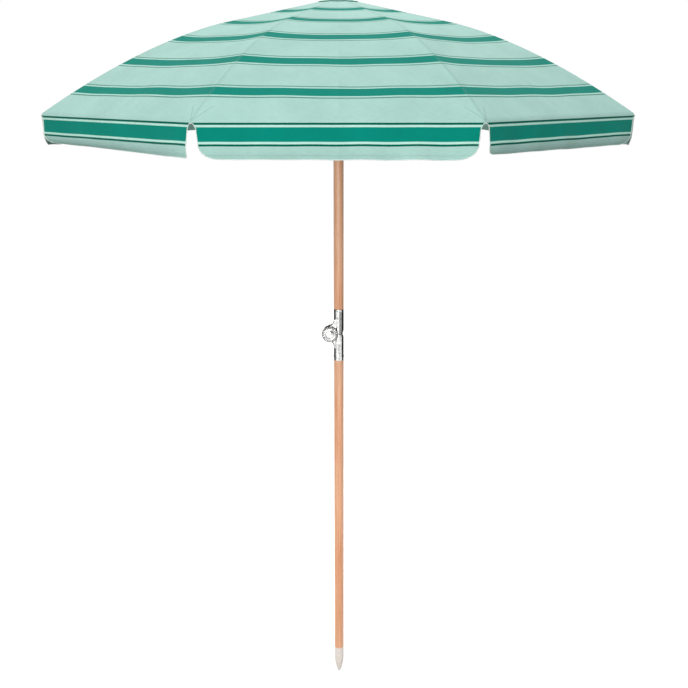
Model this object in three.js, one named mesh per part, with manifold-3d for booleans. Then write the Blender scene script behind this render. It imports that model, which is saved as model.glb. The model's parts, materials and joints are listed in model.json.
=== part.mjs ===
// Beach umbrella with a two-part wooden pole, a push-button tilt joint and an eight-rib canopy.
// Millimetres, +Z up. The origin is the point of the ground spike and the pole stands on the Z axis.
// The canopy is open and upright. -Y is the front, where the tilt button is.

import * as THREE from 'three';
import { mergeVertices } from 'three/addons/utils/BufferGeometryUtils.js';
import Module from 'manifold-3d';

const wasm = await Module();
wasm.setup();

// ---- driving dimensions ----

const GAP = 0.3; // running and assembly clearance
const RIBS = 8;
const HALF_PANEL = Math.PI / RIBS; // angle from a rib to the middle of the next panel
const FIRST_RIB = -Math.PI / 2 + HALF_PANEL; // a flat panel faces the front

// heights of the pole's stages
const SPIKE_TOP = 92;
const LOWER_POLE_TOP = 1092;
const TILT_HEIGHT = 1177;
const UPPER_FERRULE_TOP = 1254;
const POLE_TOP = 2135.7;
const RIB_HINGE_HEIGHT = 2145;
const APEX = 2157;

// pole and ferrules
const POLE_R = 15;
const TENON_R = 13.6; // reduced end of the wood inside a ferrule
const TENON_SHORT = 20; // each tenon stops this far from the joint
const FERRULE_BORE_R = TENON_R + GAP;
const FERRULE_R = 15.6;
const RIVET_R = 1.9;
const RIVET_HEAD_R = 3.1;
const HOLE_REACH = 20; // drills run this far either side of the pole's axis
const LOWER_RIVET_HEIGHT = LOWER_POLE_TOP + 12;
const UPPER_RIVET_HEIGHTS = [TILT_HEIGHT + 49, TILT_HEIGHT + 66];

// ground tip
const SPIKE_CUP_FLOOR = 48;
const SPIKE_TENON_R = 11.6;
const SPIKE_PIN_HEIGHT = 74;

// tilt joint
const TILT_OFFSET = -27; // the tilt axis is beside the pole
const BUTT_GAP = 0.8; // between the two ferrules
const EAR_R = 14;
const EAR_THICKNESS = 1.8;
const LOWER_EAR_Y = 9.4; // inner face of the lower pair of ears
const UPPER_EAR_Y = LOWER_EAR_Y + EAR_THICKNESS + GAP;
const DISC_R = 25;
const DISC_TEETH = 24;
const TOOTH_DEPTH = 1.8;
const DISC_FRONT = -21;
const DISC_BACK = -FERRULE_R - GAP;
const SLEEVE_R = 8;
const SLEEVE_BORE_R = 6.3;
const SLEEVE_HEAD_R = 11;
const BUTTON_R = 12.6;
const SPRING_TURNS = 4;
const SPRING_R = 4.6;
const SPRING_WIRE_R = 0.7;

// canopy
const RIM_R = 836; // rib line to the rim, measured level
const RIM_DROP = 311; // rim below the apex
const APEX_SLOPE = 0.22;
const STRAIGHT_R = 330; // the cloth is a straight cone out to here, then bends down
const BEND_POWER = 1.78;
const BEND = (RIM_DROP - APEX_SLOPE * RIM_R) / (RIM_R - STRAIGHT_R) ** BEND_POWER;
const CLOTH = 1.6; // thickness of the plain cloth solids
const CLOTH_HOLE_R = 16;
const CLOTH_STEPS = 9;
const VALANCE_DROP = 88;
const NOTCH_HEADER = 4; // cloth left over the notch
const NOTCH_TOP_HALF = 10;
const NOTCH_FOOT_HALF = 14;
const NOTCH_ARCH_RISE = 5;
const HEM_CORNER_WIDE = 36; // the rounded corners beside a notch
const HEM_CORNER_TALL = 28;
const NOTCH_CUT_REACH = 60; // the notch is cut this far in from the rim, past the whole corner

// ribs and stretchers
const ROD_R = 1.9;
const RIB_BELOW_CLOTH = 6.2;
const RIB_HINGE_R = 18;
const RIB_START_R = 20.6;
const RIB_END_R = 826;
const RIB_STEPS = 9; // straight lengths that stand for the rib's curve
const EYE_R = 4.2;
const EYE_HALF = 1.6;
const LUG_AT_R = 400; // stretcher pin, measured level from the pole's axis
const LUG_BELOW_RIB = 8;
const LUG_HALF = 1;
const STRETCHER_LENGTH = 428;
const RUNNER_PIN_R = 30;

// crown
const CROWN_SPIGOT_R = 8;
const CROWN_R = 26;

// runner and its catch
const RUNNER_BORE_R = POLE_R + 0.5;
const RUNNER_SLEEVE_R = 19.5;
const RUNNER_FLANGE_R = 36;
const RUNNER_FLANGE_HALF = 4;
const RUNNER_LENGTH = 62;
const SLOT_HALF = 2.7; // half the width of the slots that hold rib and stretcher eyes
const CATCH_LENGTH = 48;
const CATCH_PIN_R = 1.2;
const CATCH_PIN_Y = -9;

// ---- solids ----

function solid(geometry) {
  const bare = geometry.clone();
  bare.deleteAttribute('normal');
  bare.deleteAttribute('uv');
  const merged = mergeVertices(bare, 1e-4);
  const points = new Float32Array(merged.attributes.position.array);
  const corners = merged.index.array;
  const triangles = [];
  for (let i = 0; i < corners.length; i += 3) {
    const [a, b, c] = [corners[i], corners[i + 1], corners[i + 2]];
    if (a !== b && b !== c && c !== a) triangles.push(a, b, c);
  }
  if (signedVolume(points, triangles) < 0) triangles.reverse();
  const mesh = new wasm.Mesh({
    numProp: 3,
    vertProperties: points,
    triVerts: new Uint32Array(triangles),
  });
  return new wasm.Manifold(mesh);
}

function signedVolume(points, triangles) {
  const corner = (i) => new THREE.Vector3().fromArray(points, 3 * triangles[i]);
  let volume = 0;
  for (let i = 0; i < triangles.length; i += 3) {
    volume += corner(i).dot(corner(i + 1).cross(corner(i + 2))) / 6;
  }
  return volume;
}

function geometryOf(body) {
  const mesh = body.getMesh();
  const geometry = new THREE.BufferGeometry();
  geometry.setAttribute('position', new THREE.BufferAttribute(mesh.vertProperties, 3));
  geometry.setIndex(new THREE.BufferAttribute(mesh.triVerts, 1));
  return geometry;
}

function join(...geometries) {
  const bodies = geometries.map(solid);
  return geometryOf(bodies.reduce((whole, body) => whole.add(body)));
}

function cut(geometry, ...tools) {
  return geometryOf(tools.map(solid).reduce((left, tool) => left.subtract(tool), solid(geometry)));
}

function common(geometry, other) {
  return geometryOf(solid(geometry).intersect(solid(other)));
}

// A turned body about Z from (radius, height) pairs.
function turned(profile, segments = 20, start = 0) {
  const points = profile.map(([r, z]) => new THREE.Vector2(r, z));
  return new THREE.LatheGeometry(points, segments, start).rotateX(Math.PI / 2);
}

function cylinderZ(radius, low, high, segments = 20) {
  const body = new THREE.CylinderGeometry(radius, radius, high - low, segments);
  return body.rotateX(Math.PI / 2).translate(0, 0, (low + high) / 2);
}

function cylinderY(radius, low, high, x = 0, z = 0, segments = 12) {
  const body = new THREE.CylinderGeometry(radius, radius, high - low, segments);
  return body.translate(x, (low + high) / 2, z);
}

function cylinderX(radius, low, high, y = 0, z = 0, segments = 12) {
  const body = new THREE.CylinderGeometry(radius, radius, high - low, segments);
  return body.rotateZ(Math.PI / 2).translate((low + high) / 2, y, z);
}

function box(x0, x1, y0, y1, z0, z1) {
  const body = new THREE.BoxGeometry(x1 - x0, y1 - y0, z1 - z0);
  return body.translate((x0 + x1) / 2, (y0 + y1) / 2, (z0 + z1) / 2);
}

// An outline in the X-Z plane, given as a Shape in (x, z), thickened from y0 to y1.
function plateY(shape, y0, y1, curveSegments = 8) {
  const body = new THREE.ExtrudeGeometry(shape, { depth: y1 - y0, bevelEnabled: false, curveSegments });
  return body.rotateX(Math.PI / 2).translate(0, y1, 0);
}

function rod(curve, radius, steps, sides = 6) {
  const section = new THREE.Shape();
  section.absarc(0, 0, radius, 0, 2 * Math.PI);
  const options = { steps, curveSegments: sides / 2, extrudePath: curve, bevelEnabled: false };
  return new THREE.ExtrudeGeometry(section, options);
}

// ---- the assembly ----

const umbrella = new THREE.Group();

const FINISHES = {
  wood: { color: 0xf0b48f, roughness: 0.6, metalness: 0 },
  chrome: { color: 0xd5d7d9, roughness: 0.2, metalness: 1 },
  steel: { color: 0xaeb1b4, roughness: 0.35, metalness: 1 },
  whitePlastic: { color: 0xf6efe6, roughness: 0.45, metalness: 0 },
  cloth: { color: 0x9fcfc0, roughness: 0.9, metalness: 0 },
  valance: { color: 0x159079, roughness: 0.9, metalness: 0 },
};

function add(name, geometry, finish, parent = umbrella) {
  const mesh = new THREE.Mesh(geometry, new THREE.MeshStandardMaterial(FINISHES[finish]));
  mesh.name = name;
  parent.add(mesh);
  return mesh;
}

// ---- pole ----

function groundTip() {
  const outside = turned([
    [0, 0],
    [2.6, 0.9],
    [4.8, 4],
    [8.2, 15],
    [11.8, 29],
    [14.2, 41],
    [POLE_R + 0.1, 50],
    [POLE_R + 0.1, SPIKE_TOP],
    [0, SPIKE_TOP],
  ]);
  const cup = cylinderZ(SPIKE_TENON_R + GAP, SPIKE_CUP_FLOOR, SPIKE_TOP + 1);
  return cut(outside, cup, drillY(SPIKE_PIN_HEIGHT));
}

function drillY(height) {
  return cylinderY(RIVET_R + GAP, -HOLE_REACH, HOLE_REACH, 0, height);
}

function drillX(height) {
  return cylinderX(RIVET_R + GAP, -HOLE_REACH, HOLE_REACH, 0, height);
}

function rivetY(height, half) {
  const shank = cylinderY(RIVET_R, -half, half, 0, height);
  const head = new THREE.SphereGeometry(RIVET_HEAD_R, 10, 6).scale(1, 0.4, 1);
  const front = head.clone().translate(0, -half, height);
  const back = head.translate(0, half, height);
  return join(shank, front, back);
}

function lowerPole() {
  const wood = turned([
    [0, SPIKE_CUP_FLOOR + GAP],
    [SPIKE_TENON_R, SPIKE_CUP_FLOOR + GAP],
    [SPIKE_TENON_R, SPIKE_TOP + GAP],
    [POLE_R, SPIKE_TOP + GAP],
    [POLE_R, LOWER_POLE_TOP - GAP],
    [TENON_R, LOWER_POLE_TOP - GAP],
    [TENON_R, TILT_HEIGHT - TENON_SHORT],
    [0, TILT_HEIGHT - TENON_SHORT],
  ]);
  return cut(wood, drillY(SPIKE_PIN_HEIGHT), drillX(LOWER_RIVET_HEIGHT));
}

function upperPole() {
  const wood = turned([
    [0, TILT_HEIGHT + TENON_SHORT],
    [TENON_R, TILT_HEIGHT + TENON_SHORT],
    [TENON_R, UPPER_FERRULE_TOP + GAP],
    [POLE_R, UPPER_FERRULE_TOP + GAP],
    [POLE_R, POLE_TOP],
    [0, POLE_TOP],
  ]);
  const crownSocket = cylinderZ(CROWN_SPIGOT_R + GAP, POLE_TOP - 40, POLE_TOP + 1);
  const rivetHoles = UPPER_RIVET_HEIGHTS.map(drillY);
  const catchSlot = box(-2.1, 2.1, -POLE_R - 1, -2.2, CATCH_FOOT - 4.5, CATCH_NOSE + 1);
  const catchPinHole = cylinderX(CATCH_PIN_R + 0.2, -HOLE_REACH, HOLE_REACH, CATCH_PIN_Y, CATCH_FOOT);
  return cut(wood, crownSocket, ...rivetHoles, catchSlot, catchPinHole);
}

// ---- tilt joint ----

// One ear: a round eye about the tilt axis with a web that runs into its ferrule. side is +1 above
// the joint and -1 below it.
function ear(side, y0, y1) {
  const eye = cylinderY(EAR_R, y0, y1, TILT_OFFSET, TILT_HEIGHT, 24);
  const web = new THREE.Shape();
  web.moveTo(TILT_OFFSET - 9, TILT_HEIGHT + side * 9);
  web.lineTo(TILT_OFFSET + 13, TILT_HEIGHT + side * 1);
  web.lineTo(-6, TILT_HEIGHT + side * 1);
  web.lineTo(-6, TILT_HEIGHT + side * 50);
  web.lineTo(-13, TILT_HEIGHT + side * 42);
  web.closePath();
  return join(eye, plateY(web, y0, y1));
}

function ferrule(side, low, high, earY, holes) {
  const tube = turned([
    [FERRULE_BORE_R, low],
    [FERRULE_R, low],
    [FERRULE_R, high],
    [FERRULE_BORE_R, high],
    [FERRULE_BORE_R, low],
  ]);
  const rear = ear(side, earY, earY + EAR_THICKNESS);
  const front = ear(side, -earY - EAR_THICKNESS, -earY);
  const sleeveHole = cylinderY(SLEEVE_R + GAP, -30, 30, TILT_OFFSET, TILT_HEIGHT, 20);
  const woodSpace = cylinderZ(FERRULE_BORE_R, low - 60, high + 60);
  return cut(join(tube, cut(join(rear, front), woodSpace)), sleeveHole, ...holes);
}

function pivotSleeve() {
  const tube = cylinderY(SLEEVE_R, -14.4, 15, TILT_OFFSET, TILT_HEIGHT, 20);
  const head = cylinderY(SLEEVE_HEAD_R, 14, 17, TILT_OFFSET, TILT_HEIGHT, 20);
  const bore = cylinderY(SLEEVE_BORE_R, -20, 13.4, TILT_OFFSET, TILT_HEIGHT, 20);
  return cut(join(tube, head), bore);
}

// Each tooth is a land, a flank and a root, given as (share of the pitch, radius).
function toothedOutline() {
  const root = DISC_R - TOOTH_DEPTH;
  const tooth = [[0, DISC_R], [0.55, DISC_R], [0.72, root], [0.84, root]];
  const corners = [];
  for (let i = 0; i < DISC_TEETH; i += 1) {
    tooth.forEach(([share, radius]) => {
      const angle = ((i + share) / DISC_TEETH) * 2 * Math.PI;
      const x = TILT_OFFSET + radius * Math.cos(angle);
      const z = TILT_HEIGHT + radius * Math.sin(angle);
      corners.push(new THREE.Vector2(x, z));
    });
  }
  return new THREE.Shape(corners);
}

function ratchetDisc() {
  const disc = plateY(toothedOutline(), DISC_FRONT, DISC_BACK);
  const earFace = -UPPER_EAR_Y - EAR_THICKNESS - GAP;
  const aroundTilt = (radius, y0, y1, segments) => {
    return cylinderY(radius, y0, y1, TILT_OFFSET, TILT_HEIGHT, segments);
  };
  const boss = aroundTilt(12, DISC_BACK - 0.5, earFace, 20);
  const bore = aroundTilt(SLEEVE_R + GAP, -30, 0, 20);
  const well = aroundTilt(BUTTON_R + GAP, DISC_FRONT - 1, DISC_BACK - 0.6, 28);
  return cut(join(disc, boss), bore, well);
}

function tiltButton() {
  const cap = turned([
    [0, -20.7],
    [BUTTON_R, -20.7],
    [BUTTON_R, -22.3],
    [10.6, -24.2],
    [6.4, -25.6],
    [0, -26.1],
  ], 28);
  const stem = cylinderZ(SLEEVE_BORE_R - GAP, -21, -2, 20);
  return join(cap, stem).rotateX(-Math.PI / 2).translate(TILT_OFFSET, 0, TILT_HEIGHT);
}

class Helix extends THREE.Curve {
  getPoint(t, target = new THREE.Vector3()) {
    const angle = 2 * Math.PI * SPRING_TURNS * t;
    const y = THREE.MathUtils.lerp(-0.9, 12.4, t);
    const x = TILT_OFFSET + SPRING_R * Math.cos(angle);
    return target.set(x, y, TILT_HEIGHT + SPRING_R * Math.sin(angle));
  }
}

// ---- crown, ribs and stretchers ----

function crown() {
  const body = turned([
    [3, RIB_HINGE_HEIGHT - 34],
    [CROWN_SPIGOT_R, RIB_HINGE_HEIGHT - 34],
    [CROWN_SPIGOT_R, RIB_HINGE_HEIGHT - 9],
    [CROWN_R, RIB_HINGE_HEIGHT - 9],
    [CROWN_R, RIB_HINGE_HEIGHT + 4],
    [19.4, RIB_HINGE_HEIGHT + 5],
    [19.4, RIB_HINGE_HEIGHT - 1.5],
    [16.6, RIB_HINGE_HEIGHT - 1.5],
    [16.6, RIB_HINGE_HEIGHT + 5],
    [3, RIB_HINGE_HEIGHT + 5],
    [3, RIB_HINGE_HEIGHT - 34],
  ]);
  const slot = box(12.4, 30, -SLOT_HALF, SLOT_HALF, RIB_HINGE_HEIGHT - 12, RIB_HINGE_HEIGHT + 8);
  return cut(body, ...ribAngles().map((angle) => slot.clone().rotateZ(angle)));
}

function crownRing() {
  const wire = [];
  for (let i = 0; i <= 6; i += 1) {
    const angle = (i / 6) * 2 * Math.PI;
    wire.push([RIB_HINGE_R + Math.cos(angle), RIB_HINGE_HEIGHT + Math.sin(angle)]);
  }
  return turned(wire, 24);
}

function ribAngles() {
  return Array.from({ length: RIBS }, (_, i) => FIRST_RIB + 2 * HALF_PANEL * i);
}

function clothHeight(r) {
  return APEX - APEX_SLOPE * r - BEND * Math.max(0, r - STRAIGHT_R) ** BEND_POWER;
}

// The rib hangs under the cloth and dips to its eye near the crown.
function ribHeight(r) {
  const followsCloth = clothHeight(r) - RIB_BELOW_CLOTH;
  const atHinge = clothHeight(RIB_HINGE_R) - RIB_BELOW_CLOTH;
  const dip = Math.max(0, 1 - (r - RIB_HINGE_R) / 45) ** 2;
  return followsCloth - dip * (atHinge - RIB_HINGE_HEIGHT);
}

class RibLine extends THREE.Curve {
  getPoint(t, target = new THREE.Vector3()) {
    const r = THREE.MathUtils.lerp(RIB_START_R, RIB_END_R, t);
    return target.set(r, 0, ribHeight(r));
  }
}

const LUG_HEIGHT = ribHeight(LUG_AT_R) - LUG_BELOW_RIB;

function rib() {
  const wire = rod(new RibLine(), ROD_R, RIB_STEPS);
  const eye = cylinderY(EYE_R, -EYE_HALF, EYE_HALF, RIB_HINGE_R, RIB_HINGE_HEIGHT);
  const lug = cylinderY(4.6, -LUG_HALF, LUG_HALF, LUG_AT_R, LUG_HEIGHT);
  const neck = box(LUG_AT_R - 3, LUG_AT_R + 3, -LUG_HALF, LUG_HALF, LUG_HEIGHT, LUG_HEIGHT + LUG_BELOW_RIB);
  const ringHole = cylinderY(1.5, -3, 3, RIB_HINGE_R, RIB_HINGE_HEIGHT, 8);
  const pinHole = cylinderY(1.6, -3, 3, LUG_AT_R, LUG_HEIGHT, 8);
  return cut(join(wire, eye, lug, neck), ringHole, pinHole);
}

// The tip is a capped sleeve on the end of the rib, made along +Z and leant along the rib's last length.
function ribTip() {
  const step = (RIB_END_R - RIB_START_R) / RIB_STEPS;
  const slope = Math.atan((ribHeight(RIB_END_R - step) - ribHeight(RIB_END_R)) / step);
  const cap = turned([
    [ROD_R + 0.25, -11],
    [3, -11],
    [3, 3],
    [2.2, 5],
    [0, 5.8],
    [0, 0.4],
    [ROD_R + 0.25, 0.4],
    [ROD_R + 0.25, -11],
  ], 8);
  return cap.rotateY(Math.PI / 2 + slope).translate(RIB_END_R, 0, ribHeight(RIB_END_R));
}

// Height of the runner's pins when the canopy is open.
const RUNNER_HEIGHT = LUG_HEIGHT - Math.sqrt(STRETCHER_LENGTH ** 2 - (LUG_AT_R - RUNNER_PIN_R) ** 2);
const STRETCHER_LEAN = Math.asin((LUG_HEIGHT - RUNNER_HEIGHT) / STRETCHER_LENGTH);

// Made from the fork at the origin along -X.
function stretcher() {
  const bar = new THREE.CylinderGeometry(ROD_R, ROD_R, STRETCHER_LENGTH - 9, 6);
  bar.rotateZ(Math.PI / 2).translate(-(STRETCHER_LENGTH + 5) / 2, 0, 0);
  const heel = box(-11, -5.4, -2.7, 2.7, -2.6, 2.6);
  const cheeks = [-2.7, 1.3].map((y) => {
    return join(cylinderY(4, y, y + 1.4, 0, 0), box(-8, 0, y, y + 1.4, -2.6, 2.6));
  });
  const pin = cylinderY(1.15, -2.7, 2.7, 0, 0, 8);
  const eye = cylinderY(3.4, -1.5, 1.5, -STRETCHER_LENGTH, 0, 10);
  const eyeHole = cylinderY(1.3, -3, 3, -STRETCHER_LENGTH, 0, 8);
  return cut(join(bar, heel, ...cheeks, pin, eye), eyeHole);
}

// ---- runner and catch ----

function runner() {
  const top = RUNNER_HEIGHT + RUNNER_FLANGE_HALF;
  const body = turned([
    [RUNNER_BORE_R, top - RUNNER_LENGTH],
    [RUNNER_SLEEVE_R + 2, top - RUNNER_LENGTH],
    [RUNNER_SLEEVE_R + 2, top - RUNNER_LENGTH + 6],
    [RUNNER_SLEEVE_R, top - RUNNER_LENGTH + 8],
    [RUNNER_SLEEVE_R, RUNNER_HEIGHT - RUNNER_FLANGE_HALF],
    [RUNNER_FLANGE_R, RUNNER_HEIGHT - RUNNER_FLANGE_HALF],
    [RUNNER_FLANGE_R, top],
    [RUNNER_BORE_R, top],
    [RUNNER_BORE_R, top - RUNNER_LENGTH],
  ]);
  const slot = box(23.5, 40, -SLOT_HALF, SLOT_HALF, RUNNER_HEIGHT - 9, RUNNER_HEIGHT + 9);
  return cut(body, ...ribAngles().map((angle) => slot.clone().rotateZ(angle)));
}

// The catch's nose is just under the open runner.
const CATCH_NOSE = RUNNER_HEIGHT + RUNNER_FLANGE_HALF - RUNNER_LENGTH - GAP;
const CATCH_FOOT = CATCH_NOSE - CATCH_LENGTH;

// A flat spring strip in a slot of the pole. Its nose stands out under the runner.
function catchLever() {
  const outline = new THREE.Shape();
  outline.moveTo(-11.5, CATCH_FOOT - 3.2);
  outline.lineTo(-6.8, CATCH_FOOT - 3.2);
  outline.lineTo(-6.8, CATCH_NOSE);
  outline.lineTo(-19.5, CATCH_NOSE);
  outline.lineTo(-19.5, CATCH_NOSE - 2);
  outline.lineTo(-13, CATCH_NOSE - 15);
  outline.lineTo(-11.5, CATCH_NOSE - 22);
  outline.closePath();
  const strip = plateY(outline, -1.7, 1.7).rotateZ(Math.PI / 2);
  return cut(strip, cylinderX(CATCH_PIN_R + 0.2, -4, 4, CATCH_PIN_Y, CATCH_FOOT));
}

// ---- finial ----

function finial() {
  return turned([
    [0, RIB_HINGE_HEIGHT - 24],
    [2.6, RIB_HINGE_HEIGHT - 24],
    [2.6, APEX + 0.4],
    [20, APEX + 0.4],
    [20, APEX + 2],
    [8, APEX + 4.4],
    [5.4, APEX + 9],
    [7.6, APEX + 13],
    [8, APEX + 16.5],
    [6.2, APEX + 20.6],
    [3.4, APEX + 22.6],
    [0, APEX + 23.2],
  ], 20);
}

// ---- cloth ----

// Everything between the two panel middles either side of a rib on +X.
function gatherWedge() {
  const reach = 1200;
  const inset = GAP / 2;
  const half = reach * Math.tan(HALF_PANEL) - inset / Math.cos(HALF_PANEL);
  const outline = new THREE.Shape();
  outline.moveTo(inset / Math.sin(HALF_PANEL), 0);
  outline.lineTo(reach, -half);
  outline.lineTo(reach, half);
  outline.closePath();
  const wedge = new THREE.ExtrudeGeometry(outline, { depth: 600, bevelEnabled: false });
  return wedge.translate(0, 0, APEX - 580);
}

// An eight-sided turned shell with an edge over every rib, cut to the cloth of one rib.
function clothOverRib(profile) {
  const shell = turned(profile, RIBS, Math.PI / 2);
  return common(shell, gatherWedge());
}

function canopyGore() {
  const top = [];
  for (let i = 0; i <= CLOTH_STEPS; i += 1) {
    const r = THREE.MathUtils.lerp(CLOTH_HOLE_R, RIM_R, i / CLOTH_STEPS);
    top.push([r, clothHeight(r)]);
  }
  const underside = top.map(([r, z]) => [r, z - CLOTH]).reverse();
  return clothOverRib([...top, ...underside, top[0]]);
}

// The valance hangs from the rim and is notched at the rib up to a narrow header.
function valanceFlap() {
  const high = APEX - RIM_DROP - CLOTH - GAP;
  const low = APEX - RIM_DROP - VALANCE_DROP;
  const band = clothOverRib([
    [RIM_R - CLOTH, low],
    [RIM_R, low],
    [RIM_R, high],
    [RIM_R - CLOTH, high],
    [RIM_R - CLOTH, low],
  ]);
  const arch = high - NOTCH_HEADER;
  const foot = low - 1;
  const notch = new THREE.Shape();
  const cornerHalf = NOTCH_FOOT_HALF + HEM_CORNER_WIDE;
  notch.moveTo(-NOTCH_TOP_HALF, arch - NOTCH_ARCH_RISE);
  notch.quadraticCurveTo(0, arch, NOTCH_TOP_HALF, arch - NOTCH_ARCH_RISE);
  notch.lineTo(NOTCH_FOOT_HALF, low + HEM_CORNER_TALL);
  notch.quadraticCurveTo(NOTCH_FOOT_HALF, low, cornerHalf, foot);
  notch.lineTo(-cornerHalf, foot);
  notch.quadraticCurveTo(-NOTCH_FOOT_HALF, low, -NOTCH_FOOT_HALF, low + HEM_CORNER_TALL);
  notch.closePath();
  const tool = plateY(notch, -RIM_R - 1, -RIM_R + NOTCH_CUT_REACH, 4).rotateZ(Math.PI / 2);
  return cut(band, tool);
}

// ---- placing ----

add('ground_tip', groundTip(), 'whitePlastic');
add('tip_pin', rivetY(SPIKE_PIN_HEIGHT, POLE_R + 1.2), 'steel');
add('lower_pole', lowerPole(), 'wood');

const lowerEnd = TILT_HEIGHT - BUTT_GAP / 2;
const lowerHoles = [drillX(LOWER_RIVET_HEIGHT)];
add('lower_ferrule', ferrule(-1, LOWER_POLE_TOP, lowerEnd, LOWER_EAR_Y, lowerHoles), 'chrome');
const lowerRivet = add('lower_rivet', rivetY(0, FERRULE_R + 1), 'chrome');
lowerRivet.position.z = LOWER_RIVET_HEIGHT;
lowerRivet.rotation.z = Math.PI / 2;

const upperEnd = TILT_HEIGHT + BUTT_GAP / 2;
const upperHoles = UPPER_RIVET_HEIGHTS.map(drillY);
add('upper_ferrule', ferrule(1, upperEnd, UPPER_FERRULE_TOP, UPPER_EAR_Y, upperHoles), 'chrome');
UPPER_RIVET_HEIGHTS.forEach((z, i) => add(`upper_rivet_${i + 1}`, rivetY(z, FERRULE_R + 1), 'chrome'));
add('pivot_sleeve', pivotSleeve(), 'steel');
add('ratchet_disc', ratchetDisc(), 'chrome');
add('tilt_button', tiltButton(), 'chrome');
add('button_spring', rod(new Helix(), SPRING_WIRE_R, 10 * SPRING_TURNS, 4), 'steel');

add('upper_pole', upperPole(), 'wood');
add('crown', crown(), 'steel');
add('crown_ring', crownRing(), 'steel');
add('finial', finial(), 'whitePlastic');
add('runner', runner(), 'whitePlastic');
add('catch_lever', catchLever(), 'steel');
add('catch_pin', cylinderX(CATCH_PIN_R, -12, 12, CATCH_PIN_Y, CATCH_FOOT), 'steel');

ribAngles().forEach((angle, i) => {
  const spoke = new THREE.Group();
  spoke.rotation.z = angle;
  umbrella.add(spoke);
  const number = i + 1;
  add(`rib_${number}`, rib(), 'steel', spoke);
  add(`rib_tip_${number}`, ribTip(), 'whitePlastic', spoke);
  const strut = add(`stretcher_${number}`, stretcher(), 'steel', spoke);
  strut.position.set(LUG_AT_R, 0, LUG_HEIGHT);
  strut.rotation.y = -STRETCHER_LEAN;
  add(`canopy_gore_${number}`, canopyGore(), 'cloth', spoke);
  add(`valance_flap_${number}`, valanceFlap(), 'valance', spoke);
});

export default umbrella;
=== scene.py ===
import json
import math

import bmesh
import bpy
import numpy as np
from mathutils import Matrix, Vector


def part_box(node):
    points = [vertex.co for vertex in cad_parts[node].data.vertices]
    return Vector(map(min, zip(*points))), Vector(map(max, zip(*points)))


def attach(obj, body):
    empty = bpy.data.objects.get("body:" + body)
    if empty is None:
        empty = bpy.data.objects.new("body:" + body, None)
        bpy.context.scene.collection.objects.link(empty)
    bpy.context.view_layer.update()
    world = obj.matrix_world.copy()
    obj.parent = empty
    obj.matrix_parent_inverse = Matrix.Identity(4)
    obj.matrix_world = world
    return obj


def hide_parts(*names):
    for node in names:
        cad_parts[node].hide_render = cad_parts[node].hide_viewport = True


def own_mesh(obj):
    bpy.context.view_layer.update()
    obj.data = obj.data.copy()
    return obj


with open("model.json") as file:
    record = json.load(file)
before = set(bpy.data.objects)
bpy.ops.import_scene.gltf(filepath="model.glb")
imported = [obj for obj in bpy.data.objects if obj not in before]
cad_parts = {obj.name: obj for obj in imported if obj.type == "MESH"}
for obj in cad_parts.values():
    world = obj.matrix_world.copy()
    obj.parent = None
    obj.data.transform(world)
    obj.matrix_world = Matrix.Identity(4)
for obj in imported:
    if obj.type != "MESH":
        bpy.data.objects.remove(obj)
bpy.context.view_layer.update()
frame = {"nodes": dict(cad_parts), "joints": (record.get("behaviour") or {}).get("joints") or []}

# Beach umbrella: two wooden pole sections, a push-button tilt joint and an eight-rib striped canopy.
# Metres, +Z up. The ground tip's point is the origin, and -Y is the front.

JOINTS = {joint["name"]: joint for joint in frame["joints"]}

# ---- driving dimensions ----

RIBS = 8
HALF_PANEL = math.pi / RIBS  # angle from a rib to the middle of the next panel
FLAT = math.cos(HALF_PANEL)  # a panel's middle is this much nearer to the pole than its ribs

TILT = Vector(JOINTS["tilt_hinge"]["pos_m"])
HINGE = Vector(JOINTS["rib_fold_1"]["pos_m"])
HINGE_R = math.hypot(HINGE.x, HINGE.y)
RIB_ANGLES = [math.atan2(HINGE.y, HINGE.x) + 2 * HALF_PANEL * i for i in range(RIBS)]
LUG = Vector(JOINTS["stretcher_fold_1"]["pos_m"])
LUG_R = math.hypot(LUG.x, LUG.y)
RIM = Vector(JOINTS["valance_swing_1"]["pos_m"])
RIM_R = math.hypot(RIM.x, RIM.y)

RIM_DROP = 0.311  # rim below the apex
APEX = RIM.z + RIM_DROP
APEX_SLOPE = 0.22
STRAIGHT_R = 0.330  # the cloth is a straight cone out to here, then bends down
BEND_POWER = 1.78
BEND = (RIM_DROP - APEX_SLOPE * RIM_R) / (RIM_R - STRAIGHT_R) ** BEND_POWER
SAG = 0.008  # cloth between two ribs, below the straight line that joins them
CLOTH_HOLE_R = 0.017
FOLD_R = 0.005  # where the canopy turns down into the valance
VALANCE_DROP = 0.0835
CLOTH = 0.0007
HEMMED_CLOTH = CLOTH * 1.4
TAPE_R = 0.0010  # the rolled binding round a flap's edge
FLAP_START = 0.0035  # valance pieces begin this far round the fold

POLE_R = 0.015
FERRULE_R = 0.0156
ROD_R = 0.0019
RUNNER_PIN_R = 0.030
DISC_R = 0.025
DISC_TEETH = 24
BUTTON_R = 0.0126

# woven stripes, measured from the rim along the cloth
STRIPE_PERIOD = 0.140
STRIPE_EDGES = (0.0036, 0.0083, 0.0132, 0.0443, 0.0494, 0.0541)


# ---- mesh helpers ----

def link(name, data):
    piece = bpy.data.objects.new(name, data)
    bpy.context.scene.collection.objects.link(piece)
    return piece


def mesh_of(name, points, faces, sharp=35):
    mesh = bpy.data.meshes.new(name)
    mesh.from_pydata([tuple(p) for p in points], [], faces)
    tidy = bmesh.new()
    tidy.from_mesh(mesh)
    bmesh.ops.recalc_face_normals(tidy, faces=tidy.faces)
    tidy.to_mesh(mesh)
    tidy.free()
    soften(mesh, sharp)
    return mesh


def shade_smooth(mesh):
    mesh.polygons.foreach_set("use_smooth", [True] * len(mesh.polygons))


def soften(mesh, sharp=35):
    shade_smooth(mesh)
    mesh.set_sharp_from_angle(angle=math.radians(sharp))


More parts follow.
